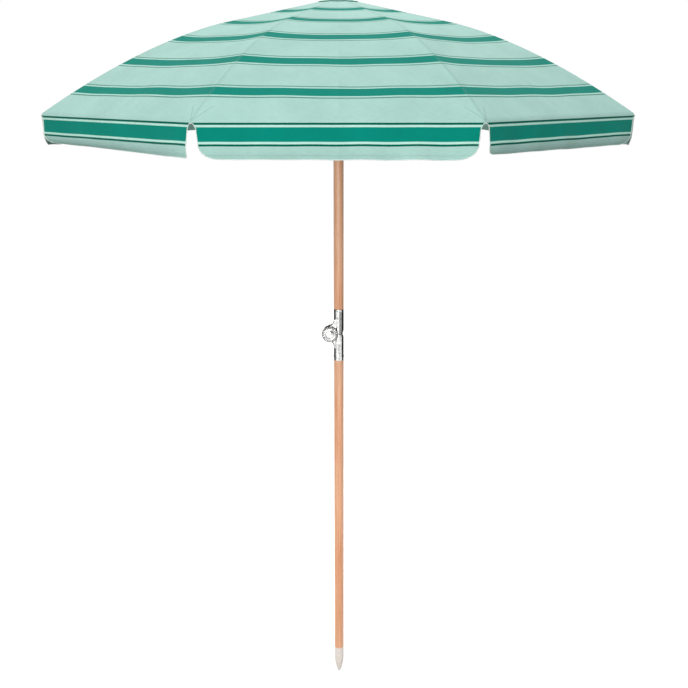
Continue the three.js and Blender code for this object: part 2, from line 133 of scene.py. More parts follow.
def solid(name, shape, sharp=35):
    """A piece from a shape's points and faces, with edges sharper than the angle left crisp."""
    return link(name, mesh_of(name, *shape, sharp))


def finish_piece(piece, body, material, slot, *replaced):
    """Gives a piece its body and its look, and hides the CAD nodes that it stands for."""
    piece.data.materials.append(material)
    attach(piece, body)
    if replaced:
        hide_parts(*replaced)
    return piece


def rounded(profile, radius, steps=4):
    """The open polyline with each inner corner turned into a short curve."""
    points = [Vector(p) for p in profile]
    out = [points[0]]
    for before, corner, after in zip(points, points[1:], points[2:]):
        one = before - corner
        two = after - corner
        start = corner + one.normalized() * min(radius, one.length * 0.45)
        end = corner + two.normalized() * min(radius, two.length * 0.45)
        for i in range(steps + 1):
            t = i / steps
            out.append(start * (1 - t) ** 2 + corner * 2 * t * (1 - t) + end * t**2)
    out.append(points[-1])
    return [(p.x, p.y) for p in out]


def turned(profile, segments=72):
    """Points and faces of a body turned about Z from (radius, height) pairs. The profile starts and ends on
    the axis, or else it is closed into a ring."""
    points = []
    rings = []
    for r, z in profile:
        if r < 1e-7:
            rings.append([len(points)] * segments)
            points.append((0, 0, z))
        else:
            rings.append(range(len(points), len(points) + segments))
            turns = [2 * math.pi * i / segments for i in range(segments)]
            points += [(r * math.cos(turn), r * math.sin(turn), z) for turn in turns]
    if profile[0][0] > 0:
        rings.append(rings[0])
    faces = []
    for low, high in zip(rings, rings[1:]):
        for i in range(segments):
            j = (i + 1) % segments
            face = list(dict.fromkeys((low[i], low[j], high[j], high[i])))
            if len(face) > 2:
                faces.append(face)
    return points, faces


def tube(route, radius, sides=12):
    """Points and faces of a round bar along a route."""
    route = [Vector(p) for p in route]
    points = []
    side = None
    for i, here in enumerate(route):
        along = (route[min(i + 1, len(route) - 1)] - route[max(i - 1, 0)]).normalized()
        if side is None:
            side = along.orthogonal().normalized()
        side = (side - along * side.dot(along)).normalized()
        up = along.cross(side)
        for k in range(sides):
            turn = 2 * math.pi * k / sides
            points.append(here + (side * math.cos(turn) + up * math.sin(turn)) * radius)
    faces = []
    for i in range(len(route) - 1):
        for k in range(sides):
            j = (k + 1) % sides
            faces.append((i * sides + k, i * sides + j, (i + 1) * sides + j, (i + 1) * sides + k))
    faces.append(tuple(range(sides)))
    faces.append(tuple(range((len(route) - 1) * sides, len(route) * sides)))
    return points, faces


def plate(outline, low, high):
    """An outline in the X-Z plane, thickened along Y from low to high."""
    n = len(outline)
    points = [(x, low, z) for x, z in outline] + [(x, high, z) for x, z in outline]
    faces = [tuple(range(n)), tuple(range(n, 2 * n))]
    faces += [(i, (i + 1) % n, n + (i + 1) % n, n + i) for i in range(n)]
    return points, faces


def moved(shape, matrix):
    points, faces = shape
    return [matrix @ Vector(p) for p in points], faces


def together(*shapes):
    points = []
    faces = []
    for some_points, some_faces in shapes:
        base = len(points)
        points += [Vector(p) for p in some_points]
        faces += [tuple(base + i for i in face) for face in some_faces]
    return points, faces


def along_y(shape, at):
    """A body made about Z, laid along Y through the point."""
    return moved(shape, Matrix.Translation(at) @ Matrix.Rotation(math.pi / 2, 4, "X"))


def along_x(shape, at):
    return moved(shape, Matrix.Translation(at) @ Matrix.Rotation(math.pi / 2, 4, "Y"))


def spoke(angle):
    return Matrix.Rotation(angle, 4, "Z")


def apply_modifiers(piece):
    graph = bpy.context.evaluated_depsgraph_get()
    piece.data = bpy.data.meshes.new_from_object(piece.evaluated_get(graph))
    piece.modifiers.clear()


def cut_with(piece, *shapes):
    """Cuts closed shapes out of a piece."""
    for shape in shapes:
        tool = solid("tool", shape)
        modifier = piece.modifiers.new("cut", "BOOLEAN")
        modifier.operation = "DIFFERENCE"
        modifier.object = tool
        modifier.solver = "EXACT"
        apply_modifiers(piece)
        bpy.data.objects.remove(tool)
    soften(piece.data)


def block(x0, x1, y0, y1, z0, z1):
    points = [(x, y, z) for x in (x0, x1) for y in (y0, y1) for z in (z0, z1)]
    faces = [(0, 1, 3, 2), (4, 6, 7, 5), (0, 4, 5, 1), (2, 3, 7, 6), (0, 2, 6, 4), (1, 5, 7, 3)]
    return points, faces


def cut_at_ribs(piece, slot):
    """Cuts a slot, given along +X, at every rib."""
    cut_with(piece, *[moved(slot, spoke(angle)) for angle in RIB_ANGLES])


# ---- looks ----

def srgb(red, green, blue):
    """A colour from 0-255 values as the linear colour that the shader wants."""
    def linear(value):
        value /= 255
        return value / 12.92 if value <= 0.04045 else ((value + 0.055) / 1.055) ** 2.4
    return linear(red), linear(green), linear(blue), 1.0


def add_node(tree, kind, inputs=(), **settings):
    """A new node whose inputs are set to values or linked to other nodes' outputs."""
    made = tree.nodes.new(kind)
    for name, value in settings.items():
        setattr(made, name, value)
    for key, value in dict(inputs).items():
        if isinstance(value, bpy.types.NodeSocket):
            tree.links.new(value, made.inputs[key])
        else:
            made.inputs[key].default_value = value
    return made


class Look:
    """One material, built up node by node round its Principled shader."""

    def __init__(self, name, colour, roughness, metallic=0.0):
        self.material = bpy.data.materials.new(name)
        self.material.use_nodes = True
        self.tree = self.material.node_tree
        self.shader = self.tree.nodes["Principled BSDF"]
        self.material.diffuse_color = colour
        self.set("Base Color", colour)
        self.set("Roughness", roughness)
        self.set("Metallic", metallic)

    def set(self, socket, value):
        self.shader.inputs[socket].default_value = value

    def drive(self, socket, source):
        self.tree.links.new(source, self.shader.inputs[socket])

    def node(self, kind, inputs=(), **settings):
        return add_node(self.tree, kind, inputs, **settings)

    def math(self, operation, *values):
        return self.node("ShaderNodeMath", dict(enumerate(values)), operation=operation).outputs[0]

    def place(self, scale=(1, 1, 1)):
        """The point in object coordinates, stretched."""
        where = self.node("ShaderNodeTexCoord").outputs["Object"]
        return self.node("ShaderNodeMapping", {"Vector": where, "Scale": scale}).outputs[0]

    def noise(self, vector, scale, detail=2.0):
        inputs = {"Vector": vector, "Scale": scale, "Detail": detail}
        return self.node("ShaderNodeTexNoise", inputs).outputs["Fac"]

    def ramp(self, factor, stops):
        """A colour ramp from (position, colour) stops."""
        made = self.node("ShaderNodeValToRGB", {"Fac": factor})
        elements = made.color_ramp.elements
        elements[0].position, elements[0].color = stops[0]
        elements[1].position, elements[1].color = stops[-1]
        for position, colour in stops[1:-1]:
            elements.new(position).color = colour
        return made.outputs["Color"]

    def between(self, value, low, high, soft):
        """1 where value is between low and high, with soft edges."""
        middle = (low + high) / 2
        off = self.math("ABSOLUTE", self.math("SUBTRACT", value, middle))
        reach = (high - low) / 2
        inputs = {"Value": off, "From Min": reach + soft, "From Max": reach - soft}
        return self.node("ShaderNodeMapRange", inputs).outputs[0]

    def mix(self, factor, one, two, how="MIX"):
        inputs = {"Factor": factor, 6: one, 7: two}
        return self.node("ShaderNodeMix", inputs, data_type="RGBA", blend_type=how).outputs[2]

    def rough(self, factor, low, high):
        inputs = {"Value": factor, "To Min": low, "To Max": high}
        self.drive("Roughness", self.node("ShaderNodeMapRange", inputs).outputs[0])

    def bump(self, height, distance, strength=1.0):
        inputs = {"Height": height, "Distance": distance, "Strength": strength}
        normal = self.node("ShaderNodeBump", inputs).outputs[0]
        self.drive("Normal", normal)


def wood_look(name):
    """Varnished beech: long grain, short dark rays and a warm, slightly uneven tone."""
    look = Look(name, srgb(238, 176, 134), 0.5)
    tone = look.noise(look.place((9, 9, 1.1)), 3.0, 3)
    tones = [(0.3, srgb(246, 176, 132)), (0.52, srgb(255, 192, 151)), (0.72, srgb(255, 203, 166))]
    base = look.ramp(tone, tones)
    grain = look.noise(look.place((330, 330, 6)), 1.0, 4)
    lines = look.ramp(grain, [(0.34, srgb(222, 205, 190)), (0.55, (1, 1, 1, 1)), (0.8, (1, 1, 1, 1))])
    colour = look.mix(0.75, base, lines, "MULTIPLY")
    rays = look.noise(look.place((900, 900, 110)), 1.0, 1)
    flecks = look.ramp(rays, [(0.66, (1, 1, 1, 1)), (0.74, srgb(205, 160, 130)), (1.0, srgb(195, 150, 120))])
    look.drive("Base Color", look.mix(0.55, colour, flecks, "MULTIPLY"))
    look.rough(grain, 0.38, 0.56)
    look.bump(grain, 0.00012, 0.5)
    look.set("Coat Weight", 0.18)
    look.set("Coat Roughness", 0.25)
    return look.material


# the dark colour below is painted shade and a painted dark reflection, laid on the metal where a point
# attribute says
SHADE_COLOUR = (0.05, 0.045, 0.045, 1)


def metal_look(name, colour, low, high, streak, tarnish=0.72):
    """Plated sheet metal with drawn streaks and cloudy tarnish, and with painted shade and a painted dark
    reflection where a point attribute of the mesh says."""
    look = Look(name, colour, (low + high) / 2, 1.0)
    cloud = look.noise(look.place(), 150, 3)
    streaks = look.noise(look.place(streak), 1.0, 4)
    wear = look.math("MULTIPLY", cloud, streaks)
    dim = tuple(c * tarnish for c in colour[:3]) + (1.0,)
    tone = look.ramp(wear, [(0.14, dim), (0.34, colour), (1.0, colour)])
    # the attribute read here holds painted shade and a painted dark reflection
    painted_shade = look.node("ShaderNodeAttribute", attribute_name="painted_shade").outputs["Fac"]
    look.drive("Base Color", look.mix(painted_shade, tone, SHADE_COLOUR))
    look.rough(look.math("ADD", streaks, painted_shade), low, high)
    look.bump(look.math("ADD", cloud, look.math("MULTIPLY", streaks, 0.25)), 0.00016, 0.3)
    return look.material


def plastic_look(name, colour, low=0.35, high=0.55):
    """Moulded plastic with a fine spark-eroded grain and scuffs."""
    look = Look(name, colour, (low + high) / 2)
    scuffs = look.noise(look.place((60, 60, 240)), 1.0, 5)
    dull = tuple(c * 0.9 for c in colour[:3]) + (1.0,)
    look.drive("Base Color", look.ramp(scuffs, [(0.3, dull), (0.5, colour), (1.0, colour)]))
    look.rough(scuffs, low, high)
    look.bump(look.noise(look.place(), 2600, 2), 0.00005, 0.4)
    return look.material


MINT = srgb(174, 214, 204)
PALE = srgb(192, 236, 222)
TEAL = srgb(0, 138, 121)
LINE = srgb(0, 98, 82)
SOFT_PALE = srgb(187, 227, 216)
SOFT_LINE = srgb(104, 158, 144)
# the colour below is painted shade, laid along the seam folds, pocket lines, hem stitch and stitch rows
SEAM_SHADE = srgb(118, 158, 147)

# the weave and the sewing, in metres on the cloth map
STRIPE_WOBBLE = 0.0008
STRIPE_SOFT = 0.00022
FADE_FROM, FADE_TO = -0.01, -0.12  # the thin lines grow paler over this stretch above the rim
SEAM_HALF = 0.0007  # the seam over each rib
STITCH_ROW = (0.0040, 0.0048)  # a row of stitches on each side of the seam
STITCH_PITCH = 0.0034
STITCH = (0.0006, 0.0030)
POCKET = (-0.052, -0.002)  # the pocket that holds the rib's tip
POCKET_SPREAD = -0.52
POCKET_LINE_HALF = 0.0009
HEM_STITCH = (VALANCE_DROP - 0.0095, VALANCE_DROP - 0.0087)
RIDGE_HALF = 0.0052  # the raised fold of cloth along the seam
WEFT = 0.0009
WARP = 0.0011


def cloth_look(name):
    """Woven acrylic with yarn-dyed stripes. The cloth map holds metres: across from the rib, and along from
    the rim, upwards negative."""
    look = Look(name, MINT, 0.85)
    map_node = look.node("ShaderNodeUVMap", uv_map="cloth")
    split = look.node("ShaderNodeSeparateXYZ", {"Vector": map_node.outputs[0]})
    across, along = split.outputs[0], split.outputs[1]
    yarns = look.noise(map_node.outputs[0], 900, 1)
    wobble = look.math("MULTIPLY", look.math("SUBTRACT", yarns, 0.5), STRIPE_WOBBLE)
    turn = look.math("FLOORED_MODULO", look.math("ADD", along, wobble), STRIPE_PERIOD)
    share = look.math("DIVIDE", turn, STRIPE_PERIOD)
    soft = STRIPE_SOFT / STRIPE_PERIOD

    def striped(line, pale):
        bands = [MINT, line, pale, TEAL, pale, line, MINT]
        stops = [(0.0, MINT)]
        for edge, before, after in zip(STRIPE_EDGES, bands, bands[1:]):
            stops.append((edge / STRIPE_PERIOD - soft, before))
            stops.append((edge / STRIPE_PERIOD + soft, after))
        return look.ramp(share, stops + [(1.0, MINT)])

    fade = {"Value": along, "From Min": FADE_FROM, "From Max": FADE_TO}
    faded = look.node("ShaderNodeMapRange", fade).outputs[0]
    stripes = look.mix(faded, striped(LINE, PALE), striped(SOFT_LINE, SOFT_PALE))

    stretched = look.node("ShaderNodeMapping", {"Vector": map_node.outputs[0], "Scale": (60, 700, 1)})
    slubs = look.noise(stretched.outputs[0], 1.0, 3)
    slub_tone = look.ramp(slubs, [(0.3, srgb(238, 240, 240)), (0.6, (1, 1, 1, 1))])
    clouds = look.noise(map_node.outputs[0], 9, 3)
    cloud_tone = look.ramp(clouds, [(0.3, srgb(240, 243, 242)), (0.65, (1, 1, 1, 1))])
    colour = look.mix(0.8, stripes, slub_tone, "MULTIPLY")
    colour = look.mix(0.8, colour, cloud_tone, "MULTIPLY")

    side = look.math("ABSOLUTE", across)
    seam = look.between(side, -SEAM_HALF, SEAM_HALF, 0.0003)
    row = look.between(side, *STITCH_ROW, 0.0002)
    dash = look.between(look.math("FLOORED_MODULO", along, STITCH_PITCH), *STITCH, 0.0003)
    stitches = look.math("MULTIPLY", row, dash)
    off_line = look.math("SUBTRACT", side, look.math("MULTIPLY", along, POCKET_SPREAD))
    pocket_line = look.between(off_line, -POCKET_LINE_HALF, POCKET_LINE_HALF, 0.0005)
    in_pocket = look.between(along, *POCKET, 0.002)
    pocket = look.math("MULTIPLY", pocket_line, in_pocket)
    hem = look.between(along, *HEM_STITCH, 0.0002)
    sewing_and_shade = look.math("MAXIMUM", look.math("MAXIMUM", seam, pocket), look.math("MULTIPLY", hem, 0.7))
    sewing_and_shade = look.math("MAXIMUM", sewing_and_shade, look.math("MULTIPLY", stitches, 0.55))
    # the sewn lines are darkened with painted shade here, and they also sink into the cloth in the bump below
    colour = look.mix(look.math("MULTIPLY", sewing_and_shade, 0.6), colour, SEAM_SHADE)
    look.drive("Base Color", colour)

    weft = look.math("SINE", look.math("MULTIPLY", across, 2 * math.pi / WEFT))
    warp = look.math("SINE", look.math("MULTIPLY", along, 2 * math.pi / WARP))
    weave = look.math("MULTIPLY", look.math("ADD", look.math("MULTIPLY", weft, warp), slubs), 0.12)
    ridge = look.between(side, -RIDGE_HALF, RIDGE_HALF, 0.0012)
    height = look.math("ADD", weave, look.math("SUBTRACT", ridge, sewing_and_shade))
    look.bump(height, 0.0006, 0.55)
    look.rough(slubs, 0.78, 0.95)
    look.set("Sheen Weight", 0.03)
    look.set("Sheen Roughness", 0.5)
    look.set("Specular IOR Level", 0.08)
    return look.material


def tape_look(name, colour):
    """Narrow woven binding tape."""
    look = Look(name, colour, 0.9)
    ribs = look.noise(look.place(), 1500, 2)
    dull = tuple(c * 0.86 for c in colour[:3]) + (1.0,)
    look.drive("Base Color", look.ramp(ribs, [(0.35, dull), (0.6, colour)]))
    look.bump(ribs, 0.0002, 0.5)
    look.set("Sheen Weight", 0.2)
    return look.material


WOOD = wood_look("beech")
CHROME = metal_look("chrome", (0.73, 0.73, 0.72, 1.0), 0.08, 0.2, (90, 90, 700), 0.5)
STEEL = metal_look("zinc_steel", (0.60, 0.61, 0.63, 1.0), 0.26, 0.46, (500, 500, 60))
WHITE = plastic_look("white_plastic", srgb(250, 240, 230))
CLOTH_LOOK = cloth_look("striped_cloth")
TAPE = tape_look("pale_binding", srgb(226, 238, 232))


# ---- cloth ----

def cloth_height(r):
    """Height of the cloth where it crosses a rib at a radius."""
    return APEX - APEX_SLOPE * r - BEND * max(0, r - STRAIGHT_R) ** BEND_POWER


def panel_profile():
    """The middle of a panel, from the apex over the rim to the hem, as three arrays: level reach from the
    pole's axis, height, and distance from the rim along the cloth."""
    edge = RIM_R * FLAT
    slope = APEX_SLOPE + BEND * BEND_POWER * (RIM_R - STRAIGHT_R) ** (BEND_POWER - 1)
    dip = math.atan(slope / FLAT)
    tangent = FOLD_R * math.tan((math.pi / 2 - dip) / 2)
    reach = list(np.linspace(0.0, edge - tangent * math.cos(dip), 300))
    height = [cloth_height(h / FLAT) for h in reach]
    start = Vector((reach[-1], height[-1]))
    corner = Vector((edge, RIM.z))
    end = Vector((edge, RIM.z - tangent))
    for i in range(1, 17):
        t = i / 16
        point = start * (1 - t) ** 2 + corner * 2 * t * (1 - t) + end * t**2
        reach.append(point.x)
        height.append(point.y)
    reach.append(edge)
    height.append(RIM.z - VALANCE_DROP * 1.2)
    along = np.concatenate([[0], np.cumsum(np.hypot(np.diff(reach), np.diff(height)))])
    middle = len(reach) - 10
    return np.array(reach), np.array(height), along - along[middle]


REACH, HEIGHT, ALONG = panel_profile()
HALF_SPAN = RIM_R * math.sin(HALF_PANEL)  # rib tip to the middle of the hem
DICE = np.random.default_rng(7)
PANEL_WAVES = [
    [(DICE.uniform(2.5, 7.5), DICE.uniform(-4.0, 4.0), DICE.uniform(0, 2 * math.pi)) for _ in range(5)]
    for _ in range(RIBS)
]
HEM_WAVES = [
    [(DICE.uniform(3.0, 9.5), DICE.uniform(0, 2 * math.pi)) for _ in range(4)] for _ in range(RIBS)
]
# how far each valance flap curls inwards at its hem, in degrees, at its first and its second rib
HEM_CURL = [(DICE.uniform(8, 40), DICE.uniform(8, 40)) for _ in range(RIBS)]
# three are given: two lie well under at the hem, and one is nearly straight at its second rib
HEM_CURL[0] = (74, 62)
HEM_CURL[6] = (84, 30)
HEM_CURL[7] = (24, 2)
CURL_FROM = 0.050  # below the rim


def curled(along, panel, place):
    """How much a valance flap's curl lifts it and pulls it inwards. place is the distance along the rim from
    the middle of the panel, and along is the distance below the rim."""
    where = np.clip(0.5 + 0.5 * place / HALF_SPAN, 0, 1)
    first, last = HEM_CURL[panel]
    curve = np.radians(first + (last - first) * where**1.6) / (VALANCE_DROP - CURL_FROM)
    below = np.clip(along - CURL_FROM, 0, None)
    lift = below - np.sin(curve * below) / curve
    inward = (1 - np.cos(curve * below)) / curve
    return lift, inward


def cloth_point(rib, side, share, along, lift=0.0):
    """A point of the cloth over one rib, and how it lies on its panel.

    side is 1 or -1, share runs from 0 at the rib to 1 in the middle of the panel, and along is the distance
    from the rim. All may be arrays. lift raises the point off the cloth."""
    angle = RIB_ANGLES[rib] + side * HALF_PANEL
    panel = rib if side > 0 else (rib - 1) % RIBS
    out = np.array([math.cos(angle), math.sin(angle)])
    across = side * np.array([-math.sin(angle), math.cos(angle)])
    reach = np.interp(along, ALONG, REACH)
    height = np.interp(along, ALONG, HEIGHT)
    half = reach * math.tan(HALF_PANEL)
    from_rib = 1 - np.abs(1 - share)  # mirrored past the middle
    level = np.clip(reach / (RIM_R * FLAT), 0, 1)
    sag = SAG * np.sin(math.pi * level**1.3) * (1 - (1 - from_rib) ** 2.6)
    place = -side * half * (1 - share)
    ripple = sum(np.sin(2 * math.pi * (place * a + along * b) + c) for a, b, c in PANEL_WAVES[panel])
    calm = (1 - (1 - from_rib) ** 2) * np.clip(level * 1.6, 0, 1) * np.clip(-along / 0.05, 0, 1)
    hang = np.clip(along / VALANCE_DROP, 0, 1.2)
    sway = sum(np.sin(2 * math.pi * place * a + b) for a, b in HEM_WAVES[panel])
    lift_off, inward = curled(along, panel, place)
    push = 0.0021 * hang**1.3 * sway + 0.004 * hang
    level_reach = reach + push - inward
    flat = np.stack([out[i] * level_reach + across[i] * half * (share - 1) for i in (0, 1)], -1)
    up = height - sag + 0.00035 * ripple * calm + lift + lift_off + 0.0005 * hang * sway
    return np.concatenate([flat, up[..., None]], -1)


def shell(name, points, maps, thickness=CLOTH):
    """A thin closed sheet from a grid of points that has one extra row and column all round, which only give
    the normals. maps is the cloth map's (across, along) on the inner grid."""
    across = points[1:-1, 2:] - points[1:-1, :-2]
    down = points[2:, 1:-1] - points[:-2, 1:-1]
    normals = np.cross(across, down)
    normals /= np.linalg.norm(normals, axis=-1, keepdims=True) + 1e-12
    centre = points[1:-1, 1:-1]
    middle = normals.shape[1] // 2
    outward = Vector(centre[0, middle] * (1, 1, 0)).normalized() + Vector((0, 0, 1))
    if outward.dot(Vector(normals[0, middle])) < 0:
        normals = -normals
    rows, cols = centre.shape[:2]
    top = centre.reshape(-1, 3)
    under = (centre - normals * thickness).reshape(-1, 3)
    count = rows * cols
    faces = []
    for i in range(rows - 1):
        for j in range(cols - 1):
            a = i * cols + j
            quad = (a, a + 1, a + cols + 1, a + cols)
            faces.append(quad)
            faces.append(tuple(count + k for k in reversed(quad)))
    index = np.arange(count).reshape(rows, cols)
    edge = np.concatenate([index[0], index[1:, -1], index[-1, -2::-1], index[-2:0:-1, 0]]).tolist()
    for a, b in zip(edge, edge[1:] + edge[:1]):
        faces.append((b, a, count + a, count + b))
    mesh = bpy.data.meshes.new(name)
    mesh.from_pydata(np.concatenate([top, under]).tolist(), [], faces)
    first = mesh.polygons[0].normal.dot(Vector(normals[0, 0]))
    if first < 0:
        mesh.flip_normals()
    shade_smooth(mesh)
    flat_map = np.concatenate([maps.reshape(-1, 2)] * 2)
    layer = mesh.uv_layers.new(name="cloth")
    corners = np.zeros(len(mesh.loops), np.int32)
    mesh.loops.foreach_get("vertex_index", corners)
    layer.data.foreach_set("uv", flat_map[corners].ravel().astype(np.float32))
    both = np.concatenate([normals.reshape(-1, 3), -normals.reshape(-1, 3)])
    mesh.normals_split_custom_set_from_vertices(both.tolist())
    return mesh


def padded_steps(values):
    """The steps with one more at each end, for the normals."""
    first = values[0] - (values[1] - values[0])
    last = values[-1] + (values[-1] - values[-2])
    return np.concatenate([[first], values, [last]])


def along_at(radius):
    """Distance from the rim of the point of a rib line at a radius."""
    return float(np.interp(radius * FLAT, REACH, ALONG))


def gore_mesh(name, rib, low, high, rows, columns, lift=0.0, edge_map=None):
    """The cloth over one rib between two distances from the rim."""
    spread = np.linspace(0, 1, columns + 1) ** 1.35
    shares = padded_steps(np.concatenate([-spread[:0:-1], spread]))
    near = np.linspace(0, 1, rows + 1) ** 0.8
    steps = padded_steps(low + (high - low) * near)
    share, along = np.meshgrid(shares, steps)
    right = cloth_point(rib, 1, np.abs(share), along, lift)
    left = cloth_point(rib, -1, np.abs(share), along, lift)
    points = np.where(share[..., None] >= 0, right, left)
    half = np.interp(along, ALONG, REACH) * math.tan(HALF_PANEL)
    lie = along if edge_map is None else edge_map(along)
    maps = np.stack([share * half, lie], -1)[1:-1, 1:-1]
    return shell(name, points, maps)


# the notch in the valance at each rib
ARCH_TOP = 0.0045
ARCH_DEEP = 0.019
ARCH_HALF = 0.0116
NOTCH_SLOPE = 0.10
CORNER = (0.041, 0.031)  # width and height of the hem's rounded corners
TURNED_CORNER = (0.008, 0.009)  # the one sharper corner, left of the front flap


def notch_half(along, corner):
    """Half the notch's width at a distance below the rim: an arch, sloping sides and rounded corners."""
    into = np.clip((along - ARCH_TOP) / ARCH_DEEP, 0, 1)
    arch = ARCH_HALF * np.sqrt(1 - (1 - into) ** 2)
    sides = np.clip(along - ARCH_TOP - ARCH_DEEP, 0, None) * NOTCH_SLOPE
    wide, tall = corner
    bend = np.clip((along - (VALANCE_DROP - tall)) / tall, 0, 1)
    return arch + sides + wide * (1 - np.sqrt(1 - bend**2))


def flap_rows(corner):
    """Distances below the rim of a flap's rows, closer together where its edge bends."""
    arch = ARCH_TOP + ARCH_DEEP * (1 - np.cos(np.linspace(0, math.pi / 2, 9)))
    tall = corner[1]
    straight = np.linspace(ARCH_TOP + ARCH_DEEP, VALANCE_DROP - tall, 12)[1:-1]
    turn = VALANCE_DROP - tall + tall * np.sin(np.linspace(0, math.pi / 2, 11))
    return np.concatenate([[FLAP_START], arch, straight, turn])


def flap_pieces(rib, side):
    """Half a valance flap, from its notch to the middle of the panel, and the tape round its edge."""
    corner = TURNED_CORNER if (rib, side) == (RIBS - 1, -1) else CORNER
    rows = padded_steps(flap_rows(corner))
    columns = padded_steps(np.linspace(0, 1, 25) ** 1.2)
    q, along = np.meshgrid(columns, rows)
    inner = notch_half(np.clip(along, 0, VALANCE_DROP), corner)
    off_rib = inner + (HALF_SPAN - inner) * q
    points = cloth_point(rib, side, off_rib / HALF_SPAN, along)
    maps = np.stack([off_rib * side, along], -1)[1:-1, 1:-1]
    name = f"valance_{rib + 1}_{'right' if side > 0 else 'left'}"
    mesh = shell(name, points, maps, HEMMED_CLOTH)

    route = points[1:-1, 1][::-1][:-1]
    hem = points[-2, 1:-1][::-1]
    edge = np.concatenate([hem[:-1], route])
    tape_points, tape_faces = tube(edge, TAPE_R, 8)
    return mesh, mesh_of(name + "_tape", tape_points, tape_faces, 60)


PATCH_HOLE_R = 0.0175
PATCH_R = 0.060
PATCH_EDGE = 0.006
PATCH_LIFT = 0.0016


def canopy_gore(rib):
    """The cloth over one rib, from the middle of one panel to the middle of the next."""
    number = rib + 1
    low = along_at(CLOTH_HOLE_R)
    gore = link(f"canopy_{number}", gore_mesh(f"canopy_{number}", rib, low, FLAP_START, 74, 18))
    finish_piece(gore, f"rib_{number}", CLOTH_LOOK, "canopy_cloth", f"canopy_gore_{number}")
    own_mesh(gore)
    return gore


def apex_patch(rib):
    """One petal of the patch that is sewn over the canopy's middle."""
    low, high = along_at(PATCH_HOLE_R), along_at(PATCH_R)

    def patch_map(along):
        return STRIPE_EDGES[2] + PATCH_EDGE - (high - along)

    name = f"apex_patch_{rib + 1}"
    patch = link(name, gore_mesh(name, rib, low, high, 14, 6, PATCH_LIFT, patch_map))
    finish_piece(patch, f"rib_{rib + 1}", CLOTH_LOOK, "canopy_cloth")
    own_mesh(patch)


def valance(rib):
    """The two half flaps that hang at one rib, with their tapes."""
    number = rib + 1
    for side in (1, -1):
        flap_mesh, tape_mesh = flap_pieces(rib, side)
        flap = link(flap_mesh.name, flap_mesh)
        tape = link(tape_mesh.name, tape_mesh)
        stood_for = [f"valance_flap_{number}"] if side > 0 else []
        finish_piece(flap, f"valance_{number}", CLOTH_LOOK, "canopy_cloth", *stood_for)
        finish_piece(tape, f"valance_{number}", TAPE, "canopy_cloth")
        for piece in (flap, tape):
            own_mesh(piece)


def canopy():
    for rib in range(RIBS):
        gore = canopy_gore(rib)
        apex_patch(rib)
        valance(rib)


# ---- pole and tilt joint ----

CORE_R = 0.0136  # the wood inside a ferrule
CORE_END = 0.020  # from the tilt axis to the end of either piece of wood
SPIGOT_R = 0.0116  # the lower pole's end, inside the ground tip
SPIGOT_END = 0.0483
SEAT_GAP = 0.0003
SOCKET_R = 0.0083  # bored in the top of the pole for the crown's stem
SOCKET_DEEP = 0.040


def wooden_poles():
    joint_end = TILT.z - CORE_END
    wood_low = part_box("ground_tip")[1].z + SEAT_GAP
    wood_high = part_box("lower_ferrule")[0].z - SEAT_GAP
    lower = rounded(
        [(0, SPIGOT_END), (SPIGOT_R, SPIGOT_END), (SPIGOT_R, wood_low), (POLE_R, wood_low),
         (POLE_R, wood_high), (CORE_R, wood_high), (CORE_R, joint_end), (0, joint_end)],
        0.0008,
    )
    piece = solid("lower_pole_wood", turned(lower, 96), 40)
    finish_piece(piece, "lower_pole", WOOD, "wood", "lower_pole")

    wood_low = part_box("upper_ferrule")[1].z + SEAT_GAP
    pole_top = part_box("upper_pole")[1].z
    upper = rounded(
        [(0, TILT.z + CORE_END), (CORE_R, TILT.z + CORE_END), (CORE_R, wood_low), (POLE_R, wood_low),
         (POLE_R, pole_top), (0, pole_top)],
        0.0008,
    )
    piece = solid("upper_pole_wood", turned(upper, 96), 40)
    catch_low, catch_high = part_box("catch_lever")
    slot = block(-0.0021, 0.0021, -POLE_R - 0.001, -0.0022, catch_low.z - 0.001, catch_high.z + 0.001)
    socket_low, socket_high = pole_top - SOCKET_DEEP, pole_top + 0.01
    socket = turned(
        [(0, socket_low), (SOCKET_R, socket_low), (SOCKET_R, socket_high), (0, socket_high)], 48
    )
    cut_with(piece, slot, socket)
    finish_piece(piece, "upper_pole", WOOD, "wood", "upper_pole")


def ground_tip():
    low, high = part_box("ground_tip")
    outside = rounded(
        [(0, 0), (0.0030, 0.0008), (0.0052, 0.0045), (0.0086, 0.0150), (0.0122, 0.0290), (0.0145, 0.0410),
         (0.0151, 0.0500), (0.0151, high.z - 0.0012), (0.0145, high.z), (0.0120, high.z), (0.0120, 0.0480),
         (0, 0.0480)],
        0.0016, 5,
    )
    piece = solid("ground_tip_shell", turned(outside, 96), 40)
    finish_piece(piece, "lower_pole", WHITE, "white_plastic", "ground_tip")


RIVET_HEAD_R = 0.0031
RIVET_HEAD_TALL = 0.0013
RIVET_SHANK_R = 0.0019
RIVET_SUNK = 0.0004  # how far the head's underside lies below the surface


def domed(radius, base, rise, steps):
    """A quarter ellipse from the rim of a domed head to its middle."""
    curve = [(radius * math.cos(t), base + rise * math.sin(t)) for t in np.linspace(0, math.pi / 2, steps)]
    return curve[:-1] + [(0, base + rise)]


# each rivet's name, its CAD node and body, how it lies, half its length and its look
RIVETS = (
    ("tip_rivet", "tip_pin", "lower_pole", along_y, POLE_R + 0.0004, STEEL, "steel"),
    ("ferrule_rivet_1", "upper_rivet_1", "upper_pole", along_y, FERRULE_R + 0.0002, CHROME, "chrome"),
    ("ferrule_rivet_2", "upper_rivet_2", "upper_pole", along_y, FERRULE_R + 0.0002, CHROME, "chrome"),
    ("ferrule_rivet_3", "lower_rivet", "lower_pole", along_x, FERRULE_R + 0.0002, CHROME, "chrome"),
)


